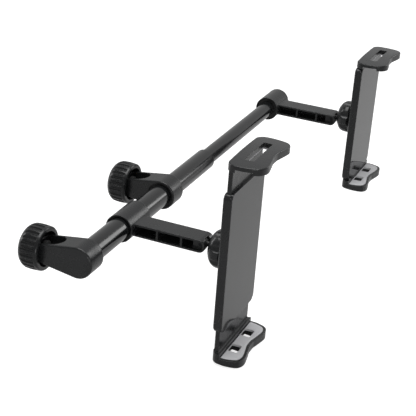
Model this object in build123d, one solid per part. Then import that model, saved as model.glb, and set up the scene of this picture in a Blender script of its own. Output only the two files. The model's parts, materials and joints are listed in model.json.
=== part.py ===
from build123d import *
import os
from math import asin, cos, degrees, pi, radians, sin, sqrt

os.makedirs("parts", exist_ok=True)

# Headrest phone holder: a telescopic bar, two clamps for the headrest posts on its
# left and two phone cradles on its right, each cradle on an arm that swings on the bar.
# Millimetres. The near post's axis is the Z axis, the bar runs along +Y, and the
# cradles face +X. "From the bar" means a distance along X from the bar's axis.

# Clearances shared by the fits
RUN = 0.06            # radial clearance of a turning or sliding fit
SLIDE = 0.3           # each side of a loosely guided plate
FACE_GAP = 0.3        # between faces that meet at the end of a travel
RING_LAND = 1.2       # how deep a bush sits behind the mouth of its bore

# Bar
BAR_X = 21.5          # post axis to bar axis
TUBE_R = 9.0
TUBE_WALL = 1.1
TUBE_END_Y = 219.5    # mouth of the main tube
INNER_R = 7.0
INNER_WALL = 1.0
INNER_OVERLAP = 69.5  # inner tube left inside the main tube
MOUTH_BUSH = 16.0
GUIDE_RING = 12.0

# Post clamps
POST_SPACING = 138.0
CLAMP_WIDTH = 19.0    # along the bar
BARREL_R = 12.3
BOSS_R = 7.3
BOSS_CENTRE_X = -11.4
CLAMP_FILLET = 1.3
SADDLE_R = 7.2        # round end of the post slot
SLOT_HALF = SADDLE_R
BOSS_LENGTH = 4.5
BLIND_WALL = 2.5      # closed front of the near clamp
BUSH_WALL = 1.5

# Clamp screw, from the pad outwards
PAD_FACE_X = -7.3
PAD_THICK = 2.6
PAD_R = 6.2
PAD_RETRACT = 1.2
KNOB_R = 17.1
KNOB_LENGTH = 18.4
KNOB_WALL = 2.4
KNOB_HOLLOW_R = 13.5
FLUTES = 24
FLUTE_R = 1.7
FLUTE_DEPTH = 1.15
SCREW_R = 3.0
SCREW_TIP_R = 2.0
SCREW_TIP = 1.5
SCREW_HEAD_AF = 9.0
SCREW_HEAD = 1.4
INSERT_R = 4.2

# Arms
ARM_NEAR_Y = 56.5     # near face of the near sleeve
ARM_SPACING = 316.6
SLEEVE_R = 11.2
SLEEVE_BORE_R = 10.1
SLEEVE_LENGTH = 31.5
BEAM_START = 3.84     # from the sleeve's near face
BEAM_WIDTH = 18.0
BEAM_HALF = 5.25
BEAM_EDGE = 0.8
REACH = 64.0          # bar axis to knuckle pin
POCKET_WALL = 1.5
POCKET_DEPTH = 14.0
RIB = 1.6
RIB_1 = 30.0          # from the bar
RIB_2 = 50.0
FORK_WALL = 1.9       # between the end pocket and the knuckle slot
KNUCKLE_SLOT = 6.4
KNUCKLE_HALF = 3.9
KNUCKLE_OPEN = 2.5    # slot is open above and below from here outwards

# Ball joint
LINK = 15.0           # knuckle pin to ball centre
NEAR_RISE = -1.35     # ball centre above the knuckle
FAR_RISE = 4.5
BALL_R = 6.5
SEAT_WALL = 0.9
EYE_R = 3.75
PIN_R = 1.5
NECK_R = 2.0
NUT_BACK = 7.4        # rear face behind the ball centre
NUT_LIP = 5.0         # end of the seat's cup, behind the ball centre
NUT_FRONT = 4.0
NUT_R = 15.2
NUT_MOUTH_R = 7.4
NUT_CROWN_R = 9.9     # where the dome meets the rear face
NUT_LOBES = 8
DOME_START = 1.0
LOBE_R = 5.0
LOBE_DEPTH = 1.5
SOCKET_R = 9.4
SOCKET_MOUTH = 2.6
SEAT_MOUTH = 3.8      # the seat's open end, behind the ball centre

# Cradles, x from the housing's back, z from the cradle's middle
BACK = 10.3           # ball centre to the housing's back
BALL_DROP = 2.6       # ball centre below the cradle's middle
HALF_WIDTH = 32.4
BODY_TOP = 56.6
BODY_BOTTOM = -55.5
BODY_DEPTH = 7.3
BODY_CORNER = 5.0
BACK_WALL = 1.6
PLATE = 2.0
PLATE_RIM = 0.9
STEM_SIDE = 3.1        # a jaw's side to its stem's side
STEM_REACH = 31.0
GEAR_TEETH = 14
MODULE = 1.0
LEG_BACK = 12.5       # outer side of a rack leg
LEG_END = 23.0        # how far a leg passes the gear when closed
RACK_START = 2.0      # first tooth from a leg's end
GEAR_POST_R = 2.0
MAX_OPENING = 20.0    # each jaw, from closed
NEAR_OPENING = 17.2
FAR_OPENING = 0.0
SCREW_Y = 22.0
SCREW_Z = 13.5
SCREW_BOSS_R = 3.0
PLATE_SCREW_R = 1.1
PLATE_SCREW_HEAD_R = 2.2
SPRING_Y = 17.0
SPRING_R = 1.5
SPRING_PEG_Z = -19.5
SPRING_PEG_R = 1.2

# Jaws, z from the face that meets the housing
TOP_HEIGHT = 6.3
TOP_PLATE = 4.0
TOP_DEPTH = 27.8
TOP_FALL = 1.0         # the top face falls this much to each side
LIP_BOTTOM = 0.4
LIP_THICK = 3.0
LIP_START = 20.0       # the lip runs along the front edge from here
PAD_SIDE = 5.0         # the top pad stops this far inside the jaw's side
TOP_SLOT_X = 12.5
TOP_SLOT_WIDTH = 7.0
TOP_SLOT_HALF = 19.0
BOTTOM_HEIGHT = 7.7
BOTTOM_DEPTH = 23.4
JAW_SIDE = 9.5         # both jaws' sides run straight to here
JAW_CORNER_X = 8.0
JAW_CORNER_Y = 6.5
JAW_SCOOP = 2.8        # both jaws' outer edges dip in at the middle
BOTTOM_DROOP = 1.5    # the front of the underside hangs lower by this
RIM = 2.2
RIM_TOP = -3.2
FLOOR_TOP = -4.4
WINDOW_INNER = 7.5
WINDOW_OUTER = 18.5
WINDOW_FRONT = 16.0
PAD_SHEET = 1.8
JAW_EDGE = 0.9

# Worked out from the above
INNER_START_Y = TUBE_END_Y - INNER_OVERLAP
TUBE_BORE_R = TUBE_R - TUBE_WALL
ARM_MID = BEAM_START + BEAM_WIDTH / 2
KNUCKLE_X = BAR_X + REACH
SEAT_R = BALL_R + RUN + SEAT_WALL
SOCKET_BALL_R = SEAT_R + RUN
BOSS_FACE_X = PAD_FACE_X - PAD_THICK - PAD_RETRACT - FACE_GAP
BOSS_END_X = BOSS_FACE_X - BOSS_LENGTH
KNOB_END_X = PAD_FACE_X - KNOB_LENGTH
PITCH_R = GEAR_TEETH * MODULE / 2
STEM_HALF = HALF_WIDTH - STEM_SIDE


def cylinder_x(radius, start, end, y=0.0, z=0.0):
    return Pos((start + end) / 2, y, z) * Rot(0, 90, 0) * Cylinder(radius, end - start)


def cylinder_y(radius, start, end, x=0.0, z=0.0):
    return Pos(x, (start + end) / 2, z) * Rot(90, 0, 0) * Cylinder(radius, end - start)


def cylinder_z(radius, start, end, x=0.0, y=0.0):
    return Pos(x, y, (start + end) / 2) * Cylinder(radius, end - start)


def block(x0, x1, y0, y1, z0, z1):
    centre = Pos((x0 + x1) / 2, (y0 + y1) / 2, (z0 + z1) / 2)
    return centre * Box(x1 - x0, y1 - y0, z1 - z0)


def profile_xz(face, start, end):
    """Extrudes a face drawn as (x, z) from one y to another."""
    return Pos(0, end, 0) * extrude(Plane.XZ * face, end - start, dir=(0, -1, 0))


def profile_yz(face, start, end):
    """Extrudes a face drawn as (y, z) from one x to another."""
    return Pos(start, 0, 0) * extrude(Plane.YZ * face, end - start, dir=(1, 0, 0))


def turned_x(edges):
    """Turns an outline drawn as (x, radius) about the X axis."""
    return revolve(make_face(edges), Axis.X)


def save(shape, name):
    shape.label = name
    export_step(shape, "parts/" + name + ".step")


# Bar, with the tubes' ends, bushes and cap

def bar():
    start = -CLAMP_WIDTH / 2 + BLIND_WALL
    tube = cylinder_y(TUBE_R, start, TUBE_END_Y, BAR_X)
    tube -= cylinder_y(TUBE_BORE_R, start, TUBE_END_Y, BAR_X)
    save(tube, "main_tube")

    end = ARM_NEAR_Y + ARM_SPACING + SLEEVE_LENGTH
    inner = cylinder_y(INNER_R, INNER_START_Y, end, BAR_X)
    inner -= cylinder_y(INNER_R - INNER_WALL, INNER_START_Y, end, BAR_X)
    save(inner, "inner_tube")

    mouth = TUBE_END_Y - RING_LAND
    bush = cylinder_y(TUBE_BORE_R, mouth - MOUTH_BUSH, mouth, BAR_X)
    bush -= cylinder_y(INNER_R + RUN, mouth - MOUTH_BUSH, mouth, BAR_X)
    save(bush, "mouth_bush")

    ring = cylinder_y(TUBE_BORE_R - RUN, INNER_START_Y, INNER_START_Y + GUIDE_RING, BAR_X)
    ring -= cylinder_y(INNER_R, INNER_START_Y, INNER_START_Y + GUIDE_RING, BAR_X)
    save(ring, "inner_guide_ring")

    cap = cylinder_y(INNER_R, end, end + 2.0, BAR_X)
    cap = fillet(cap.edges().sort_by(Axis.Y)[-1], 1.2)
    cap += cylinder_y(INNER_R - INNER_WALL, end - 8.0, end, BAR_X)
    cap -= cylinder_y(INNER_R - INNER_WALL - 1.2, end - 8.0, end - 1.0, BAR_X)
    save(cap, "end_cap")


# Post clamps

def clamp_body(bore):
    """The body round the bar's axis, its slot and its boss, about y = 0."""
    half = CLAMP_WIDTH / 2
    outline = make_hull([
        Pos(BAR_X, 0) * Circle(BARREL_R).edge(),
        Pos(BOSS_CENTRE_X, 0) * Circle(BOSS_R).edge(),
    ])
    body = profile_xz(outline, -half, half)
    rims = [e for e in body.edges() if abs(abs(e.center().Y) - half) < 0.01]
    body = fillet(rims, CLAMP_FILLET)
    body -= block(BOSS_END_X - 10, BOSS_END_X, -half, half, -BOSS_R, BOSS_R)
    slot = cylinder_z(SADDLE_R, -BARREL_R, BARREL_R)
    slot &= block(0, SADDLE_R, -SLOT_HALF, SLOT_HALF, -BARREL_R, BARREL_R)
    slot += block(BOSS_FACE_X, 0, -SLOT_HALF, SLOT_HALF, -BARREL_R, BARREL_R)
    body -= slot
    body -= cylinder_x(INSERT_R, BOSS_END_X, BOSS_FACE_X)
    return body - bore


def knob():
    rim = KNOB_R - 0.9
    edges = [
        Line((KNOB_END_X, 0), (KNOB_END_X, 8.5)),
        ThreePointArc((KNOB_END_X, 8.5), (KNOB_END_X + 1.6, 13.6), (KNOB_END_X + 6.0, KNOB_R - 0.3)),
        ThreePointArc((KNOB_END_X + 6.0, KNOB_R - 0.3), (KNOB_END_X + 10.0, KNOB_R), (PAD_FACE_X - 1.2, rim + 0.5)),
        ThreePointArc((PAD_FACE_X - 1.2, rim + 0.5), (PAD_FACE_X - 0.4, rim + 0.1), (PAD_FACE_X, rim - 0.6)),
        Line((PAD_FACE_X, rim - 0.6), (PAD_FACE_X, KNOB_HOLLOW_R)),
        Line((PAD_FACE_X, KNOB_HOLLOW_R), (KNOB_END_X + KNOB_WALL, KNOB_HOLLOW_R - 1.0)),
        Line((KNOB_END_X + KNOB_WALL, KNOB_HOLLOW_R - 1.0), (KNOB_END_X + KNOB_WALL, 0)),
        Line((KNOB_END_X + KNOB_WALL, 0), (KNOB_END_X, 0)),
    ]
    body = turned_x(edges)
    flute = cylinder_x(FLUTE_R, KNOB_END_X + 1.0, PAD_FACE_X - 2.4, z=KNOB_R + FLUTE_R - FLUTE_DEPTH)
    body -= [Rot(i * 360 / FLUTES, 0, 0) * flute for i in range(FLUTES)]
    return body - screw_head()


def screw_head():
    start = KNOB_END_X + KNOB_WALL - SCREW_HEAD
    hexagon = RegularPolygon(SCREW_HEAD_AF / 2, 6, major_radius=False)
    return profile_yz(hexagon, start, start + SCREW_HEAD)


def screw():
    shoulder = PAD_FACE_X - PAD_THICK
    body = screw_head() + cylinder_x(SCREW_R, KNOB_END_X + KNOB_WALL, shoulder)
    return body + cylinder_x(SCREW_TIP_R, shoulder, shoulder + SCREW_TIP)


def pad():
    body = cylinder_x(PAD_R, PAD_FACE_X - PAD_THICK, PAD_FACE_X)
    body = fillet(body.edges().sort_by(Axis.X)[-1], 0.6)
    return body - cylinder_x(SCREW_TIP_R + RUN, PAD_FACE_X - PAD_THICK, PAD_FACE_X - PAD_THICK + SCREW_TIP + RUN)


def clamp(name, y, bore):
    place = Pos(0, y, 0)
    save(place * clamp_body(bore), name + "_clamp_body")
    insert = cylinder_x(INSERT_R, BOSS_END_X, BOSS_FACE_X)
    insert -= cylinder_x(SCREW_R + RUN, BOSS_END_X, BOSS_FACE_X)
    save(place * insert, name + "_screw_insert")
    save(place * knob(), name + "_clamp_knob")
    save(place * screw(), name + "_clamp_screw")
    save(place * pad(), name + "_pressure_pad")


def clamps():
    half = CLAMP_WIDTH / 2
    blind = cylinder_y(TUBE_R, -half + BLIND_WALL, half, BAR_X)
    clamp("near", 0, blind)
    through = cylinder_y(TUBE_R + BUSH_WALL, -half, half, BAR_X)
    clamp("far", POST_SPACING, through)
    land = half - RING_LAND
    bush = cylinder_y(TUBE_R + BUSH_WALL - RUN, -land, land, BAR_X)
    bush -= cylinder_y(TUBE_R + RUN, -land, land, BAR_X)
    save(Pos(0, POST_SPACING, 0) * bush, "far_clamp_bush")


# Arms, drawn about the bar's axis with y from the sleeve's near face

def arm():
    body = beam_outline_solid()
    body += cylinder_y(SLEEVE_R, 0, SLEEVE_LENGTH)
    body -= cylinder_y(SLEEVE_BORE_R, 0, SLEEVE_LENGTH)
    inside = BEAM_HALF - POCKET_WALL
    floor = BEAM_START + POCKET_DEPTH
    fork = ARM_MID - KNUCKLE_SLOT / 2
    slot_end = REACH - EYE_R - 0.6
    deep_end = slot_end - POCKET_WALL
    for x0, x1 in ((SLEEVE_R, RIB_1 - RIB / 2), (RIB_1 + RIB / 2, RIB_2 - RIB / 2),
                   (RIB_2 + RIB / 2, deep_end)):
        body -= block(x0, x1, BEAM_START, floor, -inside, inside)
    body -= block(deep_end - 0.1, REACH, BEAM_START, fork - FORK_WALL, -inside, inside)
    body -= cylinder_y(inside, BEAM_START, fork - FORK_WALL, REACH)
    body -= block(slot_end, REACH + KNUCKLE_OPEN, fork, fork + KNUCKLE_SLOT, -KNUCKLE_HALF, KNUCKLE_HALF)
    body -= block(REACH + KNUCKLE_OPEN - 0.1, REACH + 2 * BEAM_HALF, fork, fork + KNUCKLE_SLOT,
                  -BEAM_HALF, BEAM_HALF)
    return body - cylinder_y(PIN_R, fork - FORK_WALL, fork + KNUCKLE_SLOT + FORK_WALL, REACH)


def beam_outline_solid():
    outline = Pos(REACH / 2, 0) * Rectangle(REACH, 2 * BEAM_HALF)
    outline += Pos(REACH, 0) * Circle(BEAM_HALF)
    beam = profile_xz(outline, BEAM_START, BEAM_START + BEAM_WIDTH)
    ends = (BEAM_START, BEAM_START + BEAM_WIDTH)
    rims = [e for e in beam.edges() if min(abs(e.center().Y - end) for end in ends) < 0.01
            and e.center().X > 1]
    return fillet(rims, BEAM_EDGE)


def ball_stud():
    """The stud lying along +X, with its eye at the origin."""
    eye_half = KNUCKLE_SLOT / 2 - RUN * 2
    body = cylinder_y(EYE_R, -eye_half, eye_half)
    body += cylinder_x(NECK_R, 0, LINK)
    taper = turned_x([
        Line((EYE_R + 2, 0), (EYE_R + 2, NECK_R)),
        Line((EYE_R + 2, NECK_R), (LINK, NECK_R + 1.0)),
        Line((LINK, NECK_R + 1.0), (LINK, 0)),
        Line((LINK, 0), (EYE_R + 2, 0)),
    ])
    body += taper
    body += Pos(LINK, 0, 0) * Sphere(BALL_R)
    return body - cylinder_y(PIN_R + RUN, -eye_half, eye_half)


# Ball joint and cradle, drawn about the ball's centre

def ball_seat():
    shell = Sphere(SEAT_R) - Sphere(BALL_R + RUN)
    return shell & block(-SEAT_MOUTH, SEAT_R * 0.7, -SEAT_R, SEAT_R, -SEAT_R, SEAT_R)


def lock_nut():
    """A domed nut with a lobed grip, its cup closing the seat on the ball."""
    seat_x = SOCKET_MOUTH + FACE_GAP
    edges = [
        Line((NUT_FRONT, SOCKET_R + RUN), (NUT_FRONT, NUT_R - 0.8)),
        Line((NUT_FRONT, NUT_R - 0.8), (NUT_FRONT - 0.8, NUT_R)),
        Line((NUT_FRONT - 0.8, NUT_R), (DOME_START, NUT_R)),
        ThreePointArc((DOME_START, NUT_R), (-3.7, 13.75), (-NUT_BACK + 0.6, NUT_CROWN_R)),
        Line((-NUT_BACK + 0.6, NUT_CROWN_R), (-NUT_BACK, NUT_CROWN_R - 0.9)),
        Line((-NUT_BACK, NUT_CROWN_R - 0.9), (-NUT_BACK, NUT_MOUTH_R)),
        Line((-NUT_BACK, NUT_MOUTH_R), (-NUT_LIP, sphere_radius(NUT_LIP))),
        ThreePointArc(
            (-NUT_LIP, sphere_radius(NUT_LIP)),
            (-(NUT_LIP + seat_x) / 2, sphere_radius((NUT_LIP + seat_x) / 2)),
            (-seat_x, sphere_radius(seat_x)),
        ),
        Line((-seat_x, sphere_radius(seat_x)), (-seat_x, SOCKET_R + RUN)),
        Line((-seat_x, SOCKET_R + RUN), (NUT_FRONT, SOCKET_R + RUN)),
    ]
    body = turned_x(edges)
    lobe = cylinder_x(LOBE_R, -NUT_BACK, NUT_FRONT, z=NUT_R + LOBE_R - LOBE_DEPTH)
    return body - [Rot((i + 0.5) * 360 / NUT_LOBES, 0, 0) * lobe for i in range(NUT_LOBES)]


def sphere_radius(offset):
    return sqrt(SOCKET_BALL_R ** 2 - offset ** 2)


def housing():
    middle = (BODY_TOP + BODY_BOTTOM) / 2
    outline = RectangleRounded(2 * HALF_WIDTH, BODY_TOP - BODY_BOTTOM, BODY_CORNER)
    body = profile_yz(Pos(0, middle) * outline, 0, BODY_DEPTH)
    back_edges = [e for e in body.edges() if abs(e.center().X) < 0.01]
    body = fillet(back_edges, 2.0)
    stem = STEM_HALF + SLIDE
    ledge = BODY_DEPTH - PLATE
    body -= block(BACK_WALL, BODY_DEPTH, -stem, stem, BODY_BOTTOM, BODY_TOP)
    rim = HALF_WIDTH - PLATE_RIM
    body -= block(ledge, BODY_DEPTH, -rim, rim, BODY_BOTTOM, BODY_TOP)
    body += cylinder_x(GEAR_POST_R, BACK_WALL, ledge)
    body += cylinder_x(SPRING_PEG_R, BACK_WALL, ledge, SPRING_Y, SPRING_PEG_Z)
    for y, z in screw_places():
        body += cylinder_x(SCREW_BOSS_R, BACK_WALL, ledge, y, z)
    body += Pos(0, 0, -BALL_DROP) * socket()
    for y, z in screw_places():
        body -= plate_screw(y, z)
    return body


def socket():
    """The ball socket behind the housing, with a flared foot that sinks in the wall."""
    mouth = -BACK - SOCKET_MOUTH
    foot = SOCKET_R + 4.6
    root = 0.8 * BACK_WALL
    top = SOCKET_BALL_R * sqrt(0.5)
    return turned_x([
        Line((mouth, SOCKET_BALL_R), (mouth, SOCKET_R)),
        Line((mouth, SOCKET_R), (-5.0, SOCKET_R)),
        ThreePointArc((-5.0, SOCKET_R), (-3.4, SOCKET_R + 1.2), (0.0, foot)),
        Line((0.0, foot), (root, foot)),
        Line((root, foot), (root, 0)),
        Line((root, 0), (-BACK + SOCKET_BALL_R, 0)),
        ThreePointArc((-BACK + SOCKET_BALL_R, 0), (-BACK + top, top), (-BACK, SOCKET_BALL_R)),
        Line((-BACK, SOCKET_BALL_R), (mouth, SOCKET_BALL_R)),
    ])


def screw_places():
    return [(y, z) for y in (-SCREW_Y, SCREW_Y) for z in (-SCREW_Z, SCREW_Z)]


def plate_screw(y, z):
    length = BODY_DEPTH - PLATE + 1.4
    head = PLATE_SCREW_HEAD_R
    profile = turned_x([
        Line((0.3, 0), (0.3, head)),
        Line((0.3, head), (0.3 + head - PLATE_SCREW_R, PLATE_SCREW_R)),
        Line((0.3 + head - PLATE_SCREW_R, PLATE_SCREW_R), (length, PLATE_SCREW_R)),
        Line((length, PLATE_SCREW_R), (length, 0)),
        Line((length, 0), (0.3, 0)),
    ])
    return Pos(0, y, z) * profile


def face_plate():
    ledge = BODY_DEPTH - PLATE
    middle = (BODY_TOP + BODY_BOTTOM) / 2
    width = 2 * (HALF_WIDTH - PLATE_RIM - RUN)
    outline = RectangleRounded(width, BODY_TOP - BODY_BOTTOM, BODY_CORNER - PLATE_RIM)
    body = profile_yz(Pos(0, middle) * outline, ledge, BODY_DEPTH)
    for y, z in screw_places():
        body -= plate_screw(y, z)
    return body


def jaw_front(deep, inset):
    """Points along half of a jaw's front edge, from its side to its middle."""
    middle = deep - JAW_SCOOP
    return [
        (0.667 * deep + 0.36 * inset, 0.965 * HALF_WIDTH - inset),
        (0.89 * deep + 0.18 * inset, 0.885 * HALF_WIDTH - 0.7 * inset),
        (deep, 0.72 * HALF_WIDTH - 0.2 * inset),
        (deep - 0.2 * JAW_SCOOP, 0.46 * HALF_WIDTH),
        (middle + 0.2 * JAW_SCOOP, 0.2 * HALF_WIDTH),
        (middle, 0),
    ]


def jaw_outline(depth, inset=0.0):
    """A jaw seen from above, x away from the housing's back, mirrored about its middle."""
    half = HALF_WIDTH - inset
    front = jaw_front(depth - inset, inset)
    if inset:
        edges = [Line((0, 0), (0, half)), Line((0, half), (JAW_SIDE, half))]
    else:
        back = HALF_WIDTH - JAW_CORNER_Y
        bulge = (0.3 * JAW_CORNER_X, HALF_WIDTH - 0.31 * JAW_CORNER_Y)
        edges = [
            Line((0, 0), (0, back)),
            ThreePointArc((0, back), bulge, (JAW_CORNER_X, half)),
            Line((JAW_CORNER_X, half), (JAW_SIDE, half)),
        ]
    edges.append(Spline((JAW_SIDE, half), *front, tangents=((1, 0), (0, -1))))
    edges.append(Line(front[-1], (0, 0)))
    one_side = make_face(edges)
    return one_side + mirror(one_side, about=Plane.XZ)


def rack_tooth(z):
    """A tooth that points at the gear from the +Y side."""
    root = PITCH_R + 1.3
    tip = PITCH_R - 0.75
    return make_face(Polyline((root, z - 1.0), (tip, z - 0.4), (tip, z + 0.4), (root, z + 1.0), close=True))


def stem(body_end):
    """A jaw's stem hanging from z = 0, its rack leg reaching past the gear."""
    x0 = BACK_WALL + 0.2
    x1 = BODY_DEPTH - PLATE - 0.2
    reach = body_end + LEG_END
    body = block(x0, x1, -STEM_HALF, STEM_HALF, -STEM_REACH, 1.0)
    body += block(x0, x1, PITCH_R + 1.2, LEG_BACK, -reach, 1 - STEM_REACH)
    step = pi * MODULE
    for i in range(int((LEG_END + 3.0 - RACK_START) / step) + 1):
        body += profile_yz(rack_tooth(RACK_START - reach + i * step), x0, x1)
    return body


def top_jaw():
    outline = jaw_outline(TOP_DEPTH)
    plate = Pos(0, 0, TOP_HEIGHT - TOP_PLATE) * extrude(outline, TOP_PLATE)
    wide = 1.1 * HALF_WIDTH
    low = TOP_HEIGHT - TOP_FALL * (wide / HALF_WIDTH) ** 2
    arch = make_face([
        ThreePointArc((-wide, low), (0, TOP_HEIGHT), (wide, low)),
        Polyline((wide, low), (wide, 0), (-wide, 0), (-wide, low)),
    ])
    plate &= profile_yz(arch, -1, TOP_DEPTH + 1)
    rims = [e for e in plate.edges() if e.center().Z > TOP_HEIGHT - TOP_PLATE + 1.5 and e.length > 4.5]
    plate = fillet(rims, JAW_EDGE)
    inner_top = TOP_HEIGHT - TOP_PLATE / 2
    back = extrude(outline, inner_top)
    back &= block(0, BODY_DEPTH, -HALF_WIDTH - 1, HALF_WIDTH + 1, 0, inner_top)
    lip_face = outline - Pos(-LIP_THICK, 0) * outline
    lip_face -= Rectangle(2 * LIP_START, 3 * HALF_WIDTH)
    lip = Pos(0, 0, LIP_BOTTOM) * extrude(lip_face, inner_top - LIP_BOTTOM)
    body = plate + back + lip
    slot = Pos(TOP_SLOT_X, 0) * Rectangle(TOP_SLOT_WIDTH, 2 * TOP_SLOT_HALF)
    slot = fillet(slot.vertices(), 1.5)
    body -= extrude(slot, TOP_HEIGHT)
    return body + stem(BODY_TOP)


def top_pad():
    face = Pos(-LIP_THICK - 0.6, 0) * jaw_outline(TOP_DEPTH)
    face &= Pos(BODY_DEPTH + 0.4 + TOP_DEPTH, 0) * Rectangle(2 * TOP_DEPTH, 2 * (HALF_WIDTH - PAD_SIDE))
    face -= Pos(TOP_SLOT_X, 0) * Rectangle(TOP_SLOT_WIDTH + 1.2, 2 * TOP_SLOT_HALF + 1.2)
    sheet = TOP_HEIGHT - TOP_PLATE - 0.6
    return Pos(0, 0, TOP_HEIGHT - TOP_PLATE - sheet) * extrude(face, sheet)


def windows():
    x0 = BODY_DEPTH + 0.6
    opening = Rectangle(WINDOW_FRONT - x0, WINDOW_OUTER - WINDOW_INNER)
    opening = fillet(opening.vertices(), 1.0)
    middle = (WINDOW_INNER + WINDOW_OUTER) / 2
    return [Pos((x0 + WINDOW_FRONT) / 2, side * middle) * opening for side in (-1, 1)]


def bottom_jaw():
    low = BOTTOM_HEIGHT + BOTTOM_DROOP
    body = Pos(0, 0, -low) * extrude(jaw_outline(BOTTOM_DEPTH), low)
    slope = make_face(Polyline(
        (-1, -low - 1), (-1, -BOTTOM_HEIGHT), (BODY_DEPTH, -BOTTOM_HEIGHT),
        (BOTTOM_DEPTH + 1, -low), (BOTTOM_DEPTH + 1, -low - 1), close=True,
    ))
    body -= profile_xz(slope, -HALF_WIDTH - 1, HALF_WIDTH + 1)
    body -= block(BODY_DEPTH, BOTTOM_DEPTH + 1, -HALF_WIDTH - 1, HALF_WIDTH + 1, RIM_TOP, 1)
    tray = jaw_outline(BOTTOM_DEPTH, RIM)
    tray &= Pos(BODY_DEPTH + BOTTOM_DEPTH, 0) * Rectangle(2 * BOTTOM_DEPTH, 2 * (HALF_WIDTH - RIM))
    body -= Pos(0, 0, FLOOR_TOP) * extrude(tray, 10)
    for window in windows():
        body -= Pos(0, 0, -low) * extrude(window, low)
    return body + Rot(180, 0, 0) * stem(-BODY_BOTTOM)


def bottom_pad():
    side = HALF_WIDTH - RIM - 0.2
    face = jaw_outline(BOTTOM_DEPTH, RIM + 0.2)
    face &= Pos(BODY_DEPTH + 0.3 + BOTTOM_DEPTH, 0) * Rectangle(2 * BOTTOM_DEPTH, 2 * side)
    body = extrude(face, PAD_SHEET)
    rims = [e for e in body.edges() if abs(e.center().Z - PAD_SHEET) < 0.01]
    body = fillet(rims, 0.6)
    for window in windows():
        body -= extrude(window, PAD_SHEET)
    return Pos(0, 0, FLOOR_TOP) * body


def jaw_gear(angle):
    x0 = BACK_WALL + 0.3
    x1 = BODY_DEPTH - PLATE - 0.3
    root = PITCH_R - 1.1
    body = cylinder_x(root, x0, x1)
    half_root = 1.0
    half_tip = 0.4
    tooth = make_face(Polyline(
        (root - 0.4, -half_root), (PITCH_R + 0.75, -half_tip),
        (PITCH_R + 0.75, half_tip), (root - 0.4, half_root), close=True,
    ))
    bar = profile_yz(tooth, x0, x1)
    body += [Rot(angle + i * 360 / GEAR_TEETH, 0, 0) * bar for i in range(GEAR_TEETH)]
    return body - cylinder_x(GEAR_POST_R + RUN, x0, x1)


def spring(opening):
    start = SPRING_PEG_Z + SPRING_PEG_R
    end = BODY_TOP - STEM_REACH + opening - FACE_GAP
    x = (BACK_WALL + BODY_DEPTH - PLATE) / 2
    coil = Cylinder(SPRING_R, end - start) - Cylinder(SPRING_R - 0.5, end - start)
    return Pos(x, SPRING_Y, (start + end) / 2) * coil


def unit(name, sleeve_y, bore_r, rise, opening):
    arm_place = Pos(BAR_X, sleeve_y, 0)
    save(arm_place * arm(), name + "_arm")
    bush = cylinder_y(SLEEVE_BORE_R - RUN, RING_LAND, SLEEVE_LENGTH - RING_LAND)
    bush -= cylinder_y(bore_r + RUN, RING_LAND, SLEEVE_LENGTH - RING_LAND)
    save(arm_place * bush, name + "_arm_bush")

    y = sleeve_y + ARM_MID
    fork = KNUCKLE_SLOT / 2 + FORK_WALL
    save(Pos(KNUCKLE_X, y, 0) * cylinder_y(PIN_R, -fork, fork), name + "_knuckle_pin")
    tilt = asin(rise / LINK)
    stud = Pos(KNUCKLE_X, y, 0) * Rot(0, -degrees(tilt), 0) * ball_stud()
    save(stud, name + "_ball_stud")

    ball_x = KNUCKLE_X + LINK * cos(tilt)
    at_ball = Pos(ball_x, y, rise)
    save(at_ball * ball_seat(), name + "_ball_seat")
    save(at_ball * lock_nut(), name + "_lock_nut")

    cradle = Pos(ball_x + BACK, y, rise + BALL_DROP)
    save(cradle * housing(), name + "_cradle_housing")
    save(cradle * face_plate(), name + "_face_plate")
    screws = Compound(children=[cradle * plate_screw(sy, sz) for sy, sz in screw_places()])
    save(screws, name + "_plate_screws")

    top = cradle * Pos(0, 0, BODY_TOP + FACE_GAP + opening)
    save(top * top_jaw(), name + "_top_jaw")
    save(top * top_pad(), name + "_top_jaw_pad")
    bottom = cradle * Pos(0, 0, BODY_BOTTOM - FACE_GAP - opening)
    save(bottom * bottom_jaw(), name + "_bottom_jaw")
    save(bottom * bottom_pad(), name + "_bottom_jaw_pad")
    save(cradle * jaw_gear(gear_angle(opening)), name + "_jaw_gear")
    save(cradle * spring(opening), name + "_jaw_spring")


def gear_angle(opening):
    """Turn of the gear that puts a tooth space against the top jaw's teeth."""
    step = pi * MODULE
    first_tooth = RACK_START - LEG_END + FACE_GAP + opening
    offset = (first_tooth + step / 2) % step
    return degrees(offset / PITCH_R)


bar()
clamps()
unit("near", ARM_NEAR_Y, TUBE_R, NEAR_RISE, NEAR_OPENING)
unit("far", ARM_NEAR_Y + ARM_SPACING, INNER_R, FAR_RISE, FAR_OPENING)
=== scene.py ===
"""Looks for the headrest phone holder.

A telescopic bar carries two clamps for the headrest's posts and two swinging arms with spring-jaw cradles.
"""

import json
import logging
import math
from dataclasses import dataclass
from enum import Enum

import bmesh
import bpy
from mathutils import Matrix, Vector

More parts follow.
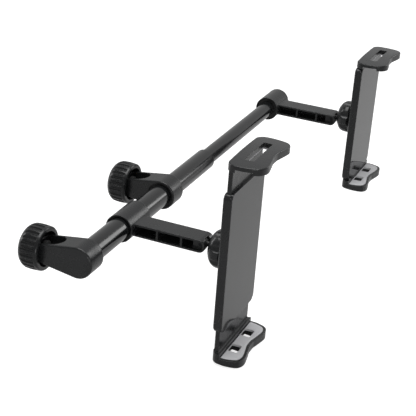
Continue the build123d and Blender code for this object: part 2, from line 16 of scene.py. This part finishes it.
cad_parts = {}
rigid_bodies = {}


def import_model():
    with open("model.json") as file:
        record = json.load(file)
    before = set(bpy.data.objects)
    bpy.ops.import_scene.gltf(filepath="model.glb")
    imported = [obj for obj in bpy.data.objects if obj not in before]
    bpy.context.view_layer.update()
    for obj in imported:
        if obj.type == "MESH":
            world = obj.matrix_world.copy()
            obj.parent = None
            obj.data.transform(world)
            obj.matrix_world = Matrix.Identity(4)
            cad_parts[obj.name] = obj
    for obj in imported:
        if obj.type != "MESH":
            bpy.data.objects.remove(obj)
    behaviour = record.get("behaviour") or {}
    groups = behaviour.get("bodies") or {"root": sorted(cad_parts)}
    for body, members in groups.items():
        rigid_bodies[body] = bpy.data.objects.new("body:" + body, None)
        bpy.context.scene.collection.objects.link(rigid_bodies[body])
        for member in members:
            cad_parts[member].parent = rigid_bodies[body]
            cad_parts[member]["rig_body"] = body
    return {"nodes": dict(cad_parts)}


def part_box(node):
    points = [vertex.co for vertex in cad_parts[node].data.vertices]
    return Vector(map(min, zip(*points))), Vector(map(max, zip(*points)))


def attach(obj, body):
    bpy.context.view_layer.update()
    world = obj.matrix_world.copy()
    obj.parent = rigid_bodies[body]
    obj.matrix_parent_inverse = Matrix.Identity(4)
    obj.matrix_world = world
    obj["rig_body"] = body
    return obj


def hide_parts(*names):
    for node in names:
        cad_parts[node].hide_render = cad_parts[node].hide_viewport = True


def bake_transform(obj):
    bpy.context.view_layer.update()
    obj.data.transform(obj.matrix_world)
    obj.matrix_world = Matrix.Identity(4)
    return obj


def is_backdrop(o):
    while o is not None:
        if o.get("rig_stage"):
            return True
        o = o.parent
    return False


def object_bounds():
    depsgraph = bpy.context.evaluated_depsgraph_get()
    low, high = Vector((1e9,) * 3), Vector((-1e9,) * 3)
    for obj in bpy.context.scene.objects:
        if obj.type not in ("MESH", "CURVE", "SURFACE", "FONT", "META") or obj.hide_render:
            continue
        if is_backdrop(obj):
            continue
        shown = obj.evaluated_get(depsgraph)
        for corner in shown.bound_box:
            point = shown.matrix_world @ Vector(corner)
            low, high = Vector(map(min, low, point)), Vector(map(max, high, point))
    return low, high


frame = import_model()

logging.basicConfig(level=logging.INFO, format="%(name)s: %(message)s")
LOG = logging.getLogger("phone holder")
MM = 0.001
METRE_MM = 1000.0
WELD = 0.001 * MM              # points closer than this are one point
SHARP = math.radians(50)       # an edge that turns by more than this stays sharp
CLOUD_MM = 18.0                # size of the faint patches that cooling leaves in a moulding
CLOUD_STOPS = (0.35, 0.75)     # where in that pattern the body colour ends and the second one is full
SMEAR_MM = 7.0                 # size of the marks that fingers leave
MOTTLE_MM = 25.0               # size of the faint patches in the studio's paper
EDGE_SAMPLES = 6               # rays that round an edge's shading
RUB_AND_HIGHLIGHT_STARTS = 0.98              # cosine of the lean at which an edge starts to take its paler colour, partly wear and partly a painted highlight, about 11 degrees
RUB_AND_HIGHLIGHT_FULL = 0.86                # cosine of the lean at which that paler colour is full, about 31 degrees
WHITE = "#ffffff"
SENSOR_MM = 36.0


def linear(code: str) -> tuple[float, float, float, float]:
    """Turns an sRGB hex colour into the linear values that a shader socket takes.

    Args:
        code: Six hex digits, with or without a leading hash.

    Returns:
        Red, green, blue and an alpha of 1.
    """
    digits = code.lstrip("#")
    shares = [int(digits[at:at + 2], 16) / 255 for at in (0, 2, 4)]
    red, green, blue = (
        share / 12.92 if share <= 0.04045 else ((share + 0.055) / 1.055) ** 2.4 for share in shares
    )
    return (red, green, blue, 1.0)


def add(tree: bpy.types.NodeTree, kind: str, settings: dict | None = None,
        **links: object) -> bpy.types.Node:
    """Adds a shader node with its settings and its links.

    Args:
        tree: The node tree that takes the node.
        kind: The node's type, such as ShaderNodeTexNoise.
        settings: Values by attribute name, or else by the input's name or number.
        links: Output sockets by the input's name, with underscores for spaces, or in0, in1 and so on.

    Returns:
        The new node.
    """
    node = tree.nodes.new(kind)
    for name, value in (settings or {}).items():
        if isinstance(name, str) and hasattr(node, name):
            setattr(node, name, value)
        else:
            node.inputs[name].default_value = value
    for name, source in links.items():
        numbered = name[:2] == "in" and name[2:].isdigit()
        target = node.inputs[int(name[2:]) if numbered else name.replace("_", " ")]
        tree.links.new(source, target)
    return node


class Grain(Enum):
    """How a surface was made; each value says how dense its relief is along X, Y and Z."""

    MOULDED = (1.0, 1.0, 1.0)       # even stipple from the mould
    LACQUERED = (1.0, 0.35, 1.0)    # shallow ripple of a smooth skin, longer along Y
    DRAWN = (1.0, 1.0, 0.08)        # fine lines along Z, as a drawing die leaves them
    TURNED = (1.0, 0.06, 0.06)      # rings round the X axis from the lathe


@dataclass(frozen=True)
class Finish:
    """One real material with its surface, as a procedural material on Object coordinates.

    Args:
        name: What the material is called in the workshop.
        colour: Body colour, sRGB hex.
        second: Colour of the faint clouding, sRGB hex.
        roughness: Middle of the roughness.
        spread: How far the roughness wanders either side.
        grain: How the surface was made.
        grain_mm: Size of one grain, in millimetres.
        relief_mm: Height of the relief, in millimetres.
        ior: Index of refraction; left out on metals.
        metal: Whether it is bare metal.
        coat: Weight of a clear coat.
        sheen: Weight of the soft edge light of rubber.
        edge_mm: How far an edge is rounded by the mould or the tool, in millimetres.
        edge_wear_and_highlight: Paler colour on the edges, sRGB hex; partly wear that handling leaves,
            partly a painted highlight.
    """

    name: str
    colour: str
    second: str
    roughness: float
    spread: float
    grain: Grain
    grain_mm: float
    relief_mm: float
    ior: float = 1.5
    metal: bool = False
    coat: float = 0.0
    sheen: float = 0.0
    edge_mm: float = 0.5
    # The edge colour below is partly wear and partly a painted highlight along the edges.
    edge_wear_and_highlight: str = "#303132"

    def clouded(self, tree: bpy.types.NodeTree, place: bpy.types.NodeSocket) -> bpy.types.NodeSocket:
        """Mixes the two body colours in faint patches.

        Args:
            tree: The material's node tree.
            place: Object coordinates.

        Returns:
            The socket with the mixed colour.
        """
        cloud = add(tree, "ShaderNodeTexNoise",
                    {"Scale": METRE_MM / CLOUD_MM, "Detail": 4.0, "Roughness": 0.6}, Vector=place)
        tone = add(tree, "ShaderNodeValToRGB", None, Fac=cloud.outputs["Fac"])
        for stop, at, code in zip(tone.color_ramp.elements, CLOUD_STOPS, (self.colour, self.second)):
            stop.position = at
            stop.color = linear(code)
        return tone.outputs[0]

    def rubbed_and_highlit(self, tree: bpy.types.NodeTree, rounded: bpy.types.NodeSocket,
               smear: bpy.types.NodeSocket) -> bpy.types.NodeSocket:
        """Finds the edges that take the paler edge colour, in patches: partly wear from handling, partly a
        painted highlight.

        Args:
            tree: The material's node tree.
            rounded: The normal with the edges rounded, which leans from the flat one near an edge.
            smear: The pattern that fingers leave.

        Returns:
            The socket that says how far each point takes the paler edge colour, from 0 to 1.
        """
        flat = add(tree, "ShaderNodeNewGeometry").outputs["Normal"]
        lean = add(tree, "ShaderNodeVectorMath", {"operation": "DOT_PRODUCT"}, in0=rounded, in1=flat)
        edge = add(tree, "ShaderNodeMapRange", {"From Min": RUB_AND_HIGHLIGHT_STARTS, "From Max": RUB_AND_HIGHLIGHT_FULL},
                   Value=lean.outputs["Value"])
        patchy = add(tree, "ShaderNodeMath", {"operation": "MULTIPLY"}, in0=edge.outputs[0], in1=smear)
        return patchy.outputs[0]

    def material(self) -> bpy.types.Material:
        """Returns the material, built once and shared after that."""
        found = bpy.data.materials.get(self.name)
        if found:
            return found
        made = bpy.data.materials.new(self.name)
        made.use_nodes = True
        tree = made.node_tree
        tree.nodes.clear()
        place = add(tree, "ShaderNodeTexCoord").outputs["Object"]
        density = tuple(METRE_MM / self.grain_mm * share for share in self.grain.value)
        fine_place = add(tree, "ShaderNodeMapping", {"Scale": density}, Vector=place)
        fine = add(tree, "ShaderNodeTexNoise", {"Scale": 1.0, "Detail": 3.0, "Roughness": 0.55},
                   Vector=fine_place.outputs[0])
        smear = add(tree, "ShaderNodeTexNoise",
                    {"Scale": METRE_MM / SMEAR_MM, "Detail": 2.0, "Distortion": 0.8}, Vector=place)
        rough = add(tree, "ShaderNodeMapRange", {
            "From Min": 0.3, "From Max": 0.7,
            "To Min": max(self.roughness - self.spread, 0.02), "To Max": self.roughness + self.spread,
        }, Value=smear.outputs["Fac"])
        rounded = add(tree, "ShaderNodeBevel",
                      {"samples": EDGE_SAMPLES, "Radius": self.edge_mm * MM}).outputs[0]
        # Base colour: the clouded body colour, paler on the edges, partly from wear and partly as a painted
        # highlight.
        shade = add(tree, "ShaderNodeMix", {"data_type": "RGBA", 7: linear(self.edge_wear_and_highlight)},
                    in0=self.rubbed_and_highlit(tree, rounded, smear.outputs["Fac"]), in6=self.clouded(tree, place))
        bump = add(tree, "ShaderNodeBump", {"Strength": 1.0, "Distance": self.relief_mm * MM},
                   Height=fine.outputs["Fac"], Normal=rounded)
        settings = {"Metallic": 1.0 if self.metal else 0.0, "Coat Weight": self.coat, "Coat Roughness": 0.06,
                    "Sheen Weight": self.sheen, "Sheen Roughness": 0.5}
        if not self.metal:
            settings["IOR"] = self.ior
        body = add(tree, "ShaderNodeBsdfPrincipled", settings, Base_Color=shade.outputs[2],
                   Roughness=rough.outputs[0], Normal=bump.outputs[0])
        add(tree, "ShaderNodeOutputMaterial", None, Surface=body.outputs[0])
        return made


# Real stipple, drawing lines and lathe rings are mostly under a tenth of a millimetre, too fine for the
# picture, so they are drawn several times coarser. The ripple of the enamel and the plate is life size.

# Each finish's paler edge colour is partly wear and partly a painted highlight along the edges.
# Gloss black enamel on steel tube: deep black with long clean streaks and the ripple of a sprayed coat.
ENAMEL = Finish(
    "gloss black enamel", colour="#161718", second="#1a1b1c", roughness=0.16, spread=0.03,
    grain=Grain.LACQUERED, grain_mm=2.2, relief_mm=0.003, ior=1.5, coat=0.25, edge_mm=0.3, edge_wear_and_highlight="#26282a",
)
# Moulded ABS, half gloss: near black, whose top faces turn grey under a broad light.
SHELL_ABS = Finish(
    "moulded black abs", colour="#1e1f20", second="#242526", roughness=0.25, spread=0.04,
    grain=Grain.MOULDED, grain_mm=0.7, relief_mm=0.005, ior=1.5, edge_mm=0.9, edge_wear_and_highlight="#38393a",
)
# The same ABS on the grips: a shade darker, with paler ridges, partly worn and partly a painted highlight,
# so that the flutes stand out.
KNOB_ABS = Finish(
    "black abs grip", colour="#151617", second="#1b1c1d", roughness=0.24, spread=0.06,
    grain=Grain.MOULDED, grain_mm=0.7, relief_mm=0.004, ior=1.5, edge_mm=0.6, edge_wear_and_highlight="#313233",
)
# Acetal bushes: dense dark plastic with a waxy low shine.
ACETAL = Finish(
    "black acetal", colour="#121213", second="#171718", roughness=0.38, spread=0.05,
    grain=Grain.MOULDED, grain_mm=0.6, relief_mm=0.004, ior=1.48,
)
# Glass-filled nylon: dark with short fibres that make the surface a little dry.
FILLED_NYLON = Finish(
    "glass filled nylon", colour="#1a1b1c", second="#262728", roughness=0.48, spread=0.08,
    grain=Grain.MOULDED, grain_mm=0.3, relief_mm=0.014, ior=1.53,
)
# Natural nylon: milky off-white, slightly waxy.
NYLON = Finish(
    "natural nylon", colour="#d9d6cb", second="#cfcabc", roughness=0.45, spread=0.06,
    grain=Grain.MOULDED, grain_mm=0.4, relief_mm=0.008, ior=1.53, edge_mm=0.2, edge_wear_and_highlight="#dedbd1",
)
# Zinc-plated steel: bluish bright metal with drawing lines.
ZINC = Finish(
    "zinc plated steel", colour="#b6bac0", second="#a5a9ae", roughness=0.3, spread=0.08,
    grain=Grain.DRAWN, grain_mm=0.25, relief_mm=0.004, metal=True, edge_mm=0.1, edge_wear_and_highlight="#c9ccd0",
)
# Black-oxide steel pins: almost black metal with an oily shine, lost in the shadow of the knuckle.
BLACK_OXIDE = Finish(
    "black oxide steel", colour="#2b2c2e", second="#333436", roughness=0.34, spread=0.06,
    grain=Grain.DRAWN, grain_mm=0.3, relief_mm=0.003, metal=True, edge_mm=0.2, edge_wear_and_highlight="#55575a",
)
# Turned brass: warm yellow with fine lathe rings.
BRASS = Finish(
    "turned brass", colour="#c79a4c", second="#b98a3e", roughness=0.28, spread=0.06,
    grain=Grain.TURNED, grain_mm=0.2, relief_mm=0.004, metal=True, edge_mm=0.2, edge_wear_and_highlight="#d9b36c",
)
# Polished ABS plate: dark, with a mirror skin that turns grey where it shows the white sweep and the pads.
PLATE_ABS = Finish(
    "polished dark abs", colour="#252627", second="#292a2b", roughness=0.07, spread=0.02,
    grain=Grain.LACQUERED, grain_mm=3.0, relief_mm=0.0006, ior=1.5, edge_mm=0.3, edge_wear_and_highlight="#343536",
)
# Silicone rubber pads: pale grey, matt, with a velvety edge.
SILICONE = Finish(
    "grey silicone rubber", colour="#d2d2d4", second="#c9c9cc", roughness=0.6, spread=0.06,
    grain=Grain.MOULDED, grain_mm=0.5, relief_mm=0.015, ior=1.41, sheen=0.1, edge_mm=0.5, edge_wear_and_highlight="#cfcfd1",
)
# Moulded black rubber: dull, dusty black.
RUBBER = Finish(
    "black rubber", colour="#19191a", second="#212122", roughness=0.7, spread=0.08,
    grain=Grain.MOULDED, grain_mm=0.6, relief_mm=0.03, ior=1.52, sheen=0.1,
)


def dress(node: str, finish: Finish) -> bpy.types.Object:
    """Gives one CAD node its finish; the node keeps its own shape and normals.

    Args:
        node: The CAD node's name.
        finish: The finish it takes.

    Returns:
        The node's object.
    """
    shown = frame["nodes"][node]
    shown.data.materials.clear()
    shown.data.materials.append(finish.material())
    LOG.info("%s in %s, %d faces", node, finish.name, len(shown.data.polygons))
    return shown


def place_piece(name: str, shape: bmesh.types.BMesh, finish: Finish, stands_for: str,
                ends: tuple[Vector, Vector] | None = None) -> bpy.types.Object:
    """Turns a finished bmesh into a piece that stands for one CAD node; it rides on the node's body unless
    ends are given.

    Args:
        name: The piece's name.
        shape: The mesh, drawn in place; it is freed here.
        finish: The finish it takes.
        stands_for: The CAD node that it replaces.
        ends: The fixed end and the far end of a spring; only whether they are given is read, and a piece
            with ends stays off the bodies.

    Returns:
        The new piece.
    """
    bmesh.ops.remove_doubles(shape, verts=shape.verts, dist=WELD)
    bmesh.ops.recalc_face_normals(shape, faces=shape.faces)
    for face in shape.faces:
        face.smooth = True
    for edge in shape.edges:
        edge.smooth = len(edge.link_faces) == 2 and edge.calc_face_angle(0.0) < SHARP
    mesh = bpy.data.meshes.new(name)
    shape.to_mesh(mesh)
    shape.free()
    mesh.materials.append(finish.material())
    piece = bpy.data.objects.new(name, mesh)
    bpy.context.scene.collection.objects.link(piece)
    node = frame["nodes"][stands_for]
    if ends:
        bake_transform(piece)
    else:
        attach(piece, node["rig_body"])
    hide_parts(stands_for)
    LOG.info("%s in %s, %d faces", name, finish.name, len(mesh.polygons))
    return piece


@dataclass
class JawSpring:
    """The long thin extension spring that pulls the jaws together, wound turn by turn.

    Args:
        side: near or far.
        wire_r: Radius of the wire.
        pitch: Distance between turns.
        steps: Faces round one turn.
        ring: Sides of the wire.
    """

    side: str
    wire_r: float = 0.26 * MM
    pitch: float = 0.85 * MM
    steps: int = 14
    ring: int = 6

    def build(self) -> bpy.types.Object:
        """Winds the coil inside the room that the CAD's stand-in tube holds."""
        node = self.side + "_jaw_spring"
        low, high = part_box(node)
        middle = (low + high) / 2
        coil_r = (high.x - low.x) / 2 - self.wire_r
        turns = int((high.z - low.z - 2 * self.wire_r) / self.pitch)
        shape = bmesh.new()
        bmesh.ops.create_circle(shape, cap_ends=True, segments=self.ring, radius=self.wire_r)
        bmesh.ops.rotate(shape, verts=shape.verts, matrix=Matrix.Rotation(math.pi / 2, 3, "X"))
        start = (middle.x + coil_r, middle.y, low.z + self.wire_r)
        bmesh.ops.translate(shape, verts=shape.verts, vec=start)
        bmesh.ops.spin(shape, geom=shape.faces[:], cent=middle, axis=(0, 0, 1),
                       dvec=(0, 0, self.pitch / self.steps),
                       angle=2 * math.pi * turns, steps=turns * self.steps)
        ends = (Vector((middle.x, middle.y, low.z)), Vector((middle.x, middle.y, high.z)))
        return place_piece(self.side + "_spring_coil", shape, ZINC, node, ends)


@dataclass
class ClampScrew:
    """The clamp's screw with its rolled thread, plain tip and hexagon head.

    Args:
        side: near or far.
        major_r: Radius over the thread.
        core_r: Radius at the thread's root.
        tip_r: Radius of the plain tip.
        head_r: Radius over the head's corners.
        pitch: Thread pitch.
        root_to: Share of the pitch at which the root ends.
        crest_from: Share of the pitch at which the crest starts.
        crest_to: Share of the pitch at which the crest ends.
        spare: Turns that are drawn and then cut off at the two ends together.
        head: Thickness of the head.
        tip: Length of the tip.
        pad_gap: Room between the screw and the pad that it turns in.
        steps: Faces round the thread.
        head_sides: Sides of the head.
        tip_sides: Faces round the tip.
    """

    side: str
    major_r: float = 3.0 * MM
    core_r: float = 2.45 * MM
    tip_r: float = 1.94 * MM
    head_r: float = 5.19 * MM
    pitch: float = 1.0 * MM
    root_to: float = 0.12
    crest_from: float = 0.44
    crest_to: float = 0.68
    spare: int = 3
    head: float = 1.4 * MM
    tip: float = 1.5 * MM
    pad_gap: float = 0.08 * MM
    steps: int = 32
    head_sides: int = 6
    tip_sides: int = 24

    def thread(self, shape: bmesh.types.BMesh, start: float, end: float, centre: Vector) -> None:
        """Makes the thread by spinning its zigzag along the screw's axis, and cuts it to length.

        Args:
            shape: The mesh that takes the thread.
            start: Lowest x of the threaded length.
            end: Highest x of it.
            centre: A point on the axis.
        """
        profile = ((0.0, self.core_r), (self.root_to, self.core_r),
                   (self.crest_from, self.major_r), (self.crest_to, self.major_r))
        row = []
        for turn in range(int((end - start) / self.pitch) + self.spare):
            x = start + (turn - self.spare / 2) * self.pitch
            for share, radius in profile:
                row.append(shape.verts.new((x + share * self.pitch, centre.y, centre.z + radius)))
        edges = [shape.edges.new(pair) for pair in zip(row, row[1:])]
        bmesh.ops.spin(shape, geom=row + edges, cent=centre, axis=(1, 0, 0),
                       dvec=(self.pitch / self.steps, 0, 0), angle=2 * math.pi, steps=self.steps)
        bmesh.ops.remove_doubles(shape, verts=shape.verts, dist=2 * WELD)
        for x, way in ((start, -1), (end, 1)):
            bmesh.ops.bisect_plane(shape, geom=shape.verts[:] + shape.edges[:] + shape.faces[:],
                                   plane_co=(x, 0, 0), plane_no=(way, 0, 0), clear_outer=True)
            rim = [edge for edge in shape.edges
                   if edge.is_boundary and all(abs(vert.co.x - x) < WELD for vert in edge.verts)]
            bmesh.ops.edgeloop_fill(shape, edges=rim)

    def build(self) -> bpy.types.Object:
        """Makes the whole screw inside the CAD screw's room."""
        node = self.side + "_clamp_screw"
        low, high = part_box(node)
        centre = (low + high) / 2
        head_end = low.x + self.head
        tip_end = high.x - self.pad_gap
        tip_start = tip_end - self.tip
        shape = bmesh.new()
        self.thread(shape, head_end, tip_start, centre)
        for radius, sides, start, end in ((self.head_r, self.head_sides, low.x, head_end),
                                          (self.tip_r, self.tip_sides, tip_start, tip_end)):
            middle = Matrix.Translation(((start + end) / 2, centre.y, centre.z))
            bmesh.ops.create_cone(shape, cap_ends=True, segments=sides, radius1=radius, radius2=radius,
                                  depth=end - start, matrix=middle @ Matrix.Rotation(math.pi / 2, 4, "Y"))
        return place_piece(self.side + "_threaded_screw", shape, ZINC, node)


@dataclass
class TelescopicBar:
    """The two tubes with the bushes and rings that guide them."""

    painted: tuple[str, ...] = ("main_tube", "inner_tube")
    guides: tuple[str, ...] = ("mouth_bush", "inner_guide_ring", "end_cap")

    def dress(self) -> None:
        """Gives the tubes enamel and the guides acetal."""
        for node in self.painted:
            dress(node, ENAMEL)
        for node in self.guides:
            dress(node, ACETAL)


@dataclass
class PostClamp:
    """One clamp for a headrest post, with its knob, screw, insert and pad.

    Args:
        side: near or far.
    """

    side: str

    def dress(self) -> None:
        """Gives every part of the clamp its finish; only the far clamp slides, so only it has a bush."""
        dress(self.side + "_clamp_body", SHELL_ABS)
        dress(self.side + "_clamp_knob", KNOB_ABS)
        ClampScrew(self.side).build()
        dress(self.side + "_screw_insert", BRASS)
        dress(self.side + "_pressure_pad", RUBBER)
        if self.side == "far":
            dress("far_clamp_bush", ACETAL)


@dataclass
class SwingArm:
    """One arm with its bush, knuckle pin, ball stud, seat and lock nut.

    Args:
        side: near or far.
    """

    side: str

    def dress(self) -> None:
        """Gives every part of the arm its finish."""
        dress(self.side + "_arm", SHELL_ABS)
        dress(self.side + "_arm_bush", ACETAL)
        dress(self.side + "_knuckle_pin", BLACK_OXIDE)
        dress(self.side + "_ball_stud", FILLED_NYLON)
        dress(self.side + "_ball_seat", NYLON)
        dress(self.side + "_lock_nut", SHELL_ABS)


@dataclass
class SpringCradle:
    """One cradle: housing, face plate, sliding jaws with pads, gear, spring and screws.

    Args:
        side: near or far.
    """

    side: str

    def dress(self) -> None:
        """Gives every part of the cradle its finish."""
        for part in ("cradle_housing", "top_jaw", "bottom_jaw"):
            dress(f"{self.side}_{part}", SHELL_ABS)
        dress(self.side + "_face_plate", PLATE_ABS)
        dress(self.side + "_top_jaw_pad", SILICONE)
        dress(self.side + "_bottom_jaw_pad", SILICONE)
        dress(self.side + "_jaw_gear", NYLON)
        JawSpring(self.side).build()
        dress(self.side + "_plate_screws", ZINC)


@dataclass(frozen=True)
class Lamp:
    """One soft rectangular light that the camera doesn't see.

    Args:
        name: What the light is called.
        place: Its middle, in metres.
        aim: The point that it faces.
        wide: Its width, in metres.
        long: Its length, in metres.
        watts: Its power.
    """

    name: str
    place: tuple[float, float, float]
    aim: tuple[float, float, float]
    wide: float
    long: float
    watts: float

    def hang(self) -> None:
        """Hangs the light at its place, turned to its aim."""
        light = bpy.data.lights.new(self.name, "AREA")
        light.shape = "RECTANGLE"
        light.size = self.wide
        light.size_y = self.long
        light.energy = self.watts
        lamp = bpy.data.objects.new(self.name, light)
        lamp.location = self.place
        lamp.rotation_euler = (Vector(self.aim) - Vector(self.place)).to_track_quat("-Z", "Y").to_euler()
        lamp.visible_camera = False
        bpy.context.scene.collection.objects.link(lamp)
        lamp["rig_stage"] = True


@dataclass
class Studio:
    """A plain pale floor, soft lights and the camera at the photograph's angle.

    Args:
        base: Height of the object's lowest point.
        camera_at: The camera's place, in metres.
        azimuth: Turn of the camera round the object, in degrees.
        elevation: Height of the camera above the horizon, in degrees.
        roll: Turn about the line of sight, in degrees.
        focal_px: Focal length, in the photograph's pixels.
        photo_px: Width of the photograph, in pixels.
        floor_at: The floor's middle.
        floor_reach: How far the floor goes from there along X and along Y, in metres.
        floor_gap: Room between the object and the floor.
        paper_tones: The two greys of the floor's paper, sRGB hex.
        flag_tone: Grey of the floor in front of the object, in a reflection, sRGB hex.
        sweep_glow: Share of the floor's white that the camera sees whatever its light.
        sweep_mirror: How bright the sweep behind the object is in a reflection.
        sky_front: Brightness of the dark room in front of the object, in a reflection.
        sky_back: Brightness of the white wall behind it, in a reflection.
        sky_fill: The plain light from all round.
        lamps: The soft lights.
    """

    base: float
    camera_at: tuple[float, float, float] = (0.37747, -0.66292, 0.38966)
    azimuth: float = 21.60
    elevation: float = 24.63
    roll: float = 4.28
    focal_px: float = 1174.7
    photo_px: int = 416
    floor_at: tuple[float, float] = (0.1, 0.2)
    floor_reach: float = 6.0
    floor_gap: float = 0.5 * MM
    paper_tones: tuple[str, str] = ("#b1b1b1", "#b5b5b5")
    flag_tone: str = "#adadad"
    sweep_glow: float = 0.82
    sweep_mirror: float = 0.2
    sky_front: float = 0.22
    sky_back: float = 0.52
    sky_fill: float = 0.45
    lamps: tuple[Lamp, ...] = (
        Lamp("overhead softbox", (0.05, 0.1, 1.3), (0.07, 0.2, 0.0), wide=1.0, long=1.0, watts=11.0),
        Lamp("right back strip", (0.85, 1.25, 0.62), (0.07, 0.2, 0.0), wide=0.35, long=0.9, watts=3.0),
        Lamp("left strip", (-1.1, 0.1, 0.5), (0.0, 0.1, 0.0), wide=0.25, long=1.0, watts=2.6),
        Lamp("low front fill", (0.75, -1.3, 0.12), (0.07, 0.1, 0.0), wide=0.9, long=0.4, watts=3.4),
    )

    def paper(self) -> bpy.types.Material:
        """Makes the sweep's paper: white to the camera, and in a reflection pale behind the object only."""
        made = bpy.data.materials.new("white paper sweep")
        made.use_nodes = True
        tree = made.node_tree
        tree.nodes.clear()
        place = add(tree, "ShaderNodeTexCoord").outputs["Object"]
        mottle = add(tree, "ShaderNodeTexNoise",
                     {"Scale": METRE_MM / MOTTLE_MM, "Detail": 2.0}, Vector=place)
        tone = add(tree, "ShaderNodeValToRGB", None, Fac=mottle.outputs["Fac"])
        for stop, code in zip(tone.color_ramp.elements, self.paper_tones):
            stop.color = linear(code)
        matt = add(tree, "ShaderNodeBsdfDiffuse", None, Color=tone.outputs[0])
        path = add(tree, "ShaderNodeLightPath")
        seen = add(tree, "ShaderNodeMath", {"operation": "MAXIMUM"},
                   in0=path.outputs["Is Camera Ray"], in1=path.outputs["Is Transmission Ray"])
        shown = add(tree, "ShaderNodeMath", {"operation": "MULTIPLY", 1: self.sweep_glow},
                    in0=seen.outputs[0])
        incoming = add(tree, "ShaderNodeNewGeometry").outputs["Incoming"]
        back = add(tree, "ShaderNodeSeparateXYZ", None, in0=incoming)
        away = add(tree, "ShaderNodeMath", {"operation": "LESS_THAN", 1: 0.0}, in0=back.outputs["Y"])
        behind = add(tree, "ShaderNodeMath", {"operation": "MULTIPLY"},
                     in0=away.outputs[0], in1=path.outputs["Is Glossy Ray"])
        mirrored = add(tree, "ShaderNodeMath", {"operation": "MULTIPLY_ADD", 1: self.sweep_mirror},
                       in0=behind.outputs[0], in2=shown.outputs[0])
        glow = add(tree, "ShaderNodeEmission", {"Color": linear(WHITE)}, Strength=mirrored.outputs[0])
        both = add(tree, "ShaderNodeAddShader", None, in0=matt.outputs[0], in1=glow.outputs[0])
        near = add(tree, "ShaderNodeMath", {"operation": "SUBTRACT"},
                   in0=path.outputs["Is Glossy Ray"], in1=behind.outputs[0])
        flag = add(tree, "ShaderNodeBsdfDiffuse", {"Color": linear(self.flag_tone)})
        mixed = add(tree, "ShaderNodeMixShader", None,
                    in0=near.outputs[0], in1=both.outputs[0], in2=flag.outputs[0])
        add(tree, "ShaderNodeOutputMaterial", None, Surface=mixed.outputs[0])
        return made

    def floor(self) -> None:
        """Lays the floor, which keeps the object's shadow."""
        mesh = bpy.data.meshes.new("floor")
        shape = bmesh.new()
        bmesh.ops.create_grid(shape, x_segments=1, y_segments=1, size=self.floor_reach)
        bmesh.ops.translate(shape, verts=shape.verts, vec=(*self.floor_at, self.base - self.floor_gap))
        shape.to_mesh(mesh)
        shape.free()
        mesh.materials.append(self.paper())
        ground = bpy.data.objects.new("floor", mesh)
        bpy.context.scene.collection.objects.link(ground)
        ground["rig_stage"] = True

    def sky(self) -> None:
        """Sets the world: white to the camera, a pale wall behind in a reflection, and a plain grey fill."""
        world = bpy.data.worlds.new("studio")
        bpy.context.scene.world = world
        world.use_nodes = True
        tree = world.node_tree
        tree.nodes.clear()
        path = add(tree, "ShaderNodeLightPath")
        seen = add(tree, "ShaderNodeMath", {"operation": "MAXIMUM"},
                   in0=path.outputs["Is Camera Ray"], in1=path.outputs["Is Transmission Ray"])
        direction = add(tree, "ShaderNodeTexCoord").outputs["Generated"]
        way = add(tree, "ShaderNodeSeparateXYZ", None, in0=direction)
        wall = add(tree, "ShaderNodeMapRange", {
            "interpolation_type": "SMOOTHSTEP", "From Min": -0.1, "From Max": 0.35,
            "To Min": self.sky_front, "To Max": self.sky_back,
        }, Value=way.outputs["Y"])
        lit = add(tree, "ShaderNodeMix", {"data_type": "FLOAT", 2: self.sky_fill},
                  in0=path.outputs["Is Glossy Ray"], in3=wall.outputs[0])
        level = add(tree, "ShaderNodeMix", {"data_type": "FLOAT", 3: 1.0},
                    in0=seen.outputs[0], in2=lit.outputs[0])
        back = add(tree, "ShaderNodeBackground", {"Color": linear(WHITE)}, Strength=level.outputs[0])
        add(tree, "ShaderNodeOutputWorld", None, Surface=back.outputs[0])

    def camera(self) -> None:
        """Puts the camera where the photograph was taken from."""
        turn, rise, roll = (math.radians(angle) for angle in (self.azimuth, self.elevation, self.roll))
        ahead = Vector((-math.sin(turn) * math.cos(rise), math.cos(turn) * math.cos(rise), -math.sin(rise)))
        right = Vector((math.cos(turn), math.sin(turn), 0.0))
        over = right.cross(ahead)
        across = right * math.cos(roll) + over * math.sin(roll)
        above = over * math.cos(roll) - right * math.sin(roll)
        lens = bpy.data.cameras.new("photo camera")
        lens.sensor_width = SENSOR_MM
        lens.lens = self.focal_px / self.photo_px * SENSOR_MM
        lens.clip_start = 0.01
        seat = bpy.data.objects.new("photo camera", lens)
        seat.matrix_world = Matrix((across, above, -ahead)).transposed().to_4x4()
        seat.location = self.camera_at
        bpy.context.scene.collection.objects.link(seat)
        bpy.context.scene.camera = seat

    def build(self) -> None:
        """Sets up the whole studio."""
        self.floor()
        self.sky()
        for lamp in self.lamps:
            lamp.hang()
        self.camera()
        bpy.context.scene.view_settings.view_transform = "Standard"


def main() -> None:
    """Builds the looks, piece by piece, and then the studio."""
    cad_low, cad_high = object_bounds()
    TelescopicBar().dress()
    for side in ("near", "far"):
        PostClamp(side).dress()
        SwingArm(side).dress()
        SpringCradle(side).dress()
    Studio(cad_low.z).build()


if __name__ == "__main__":
    main()
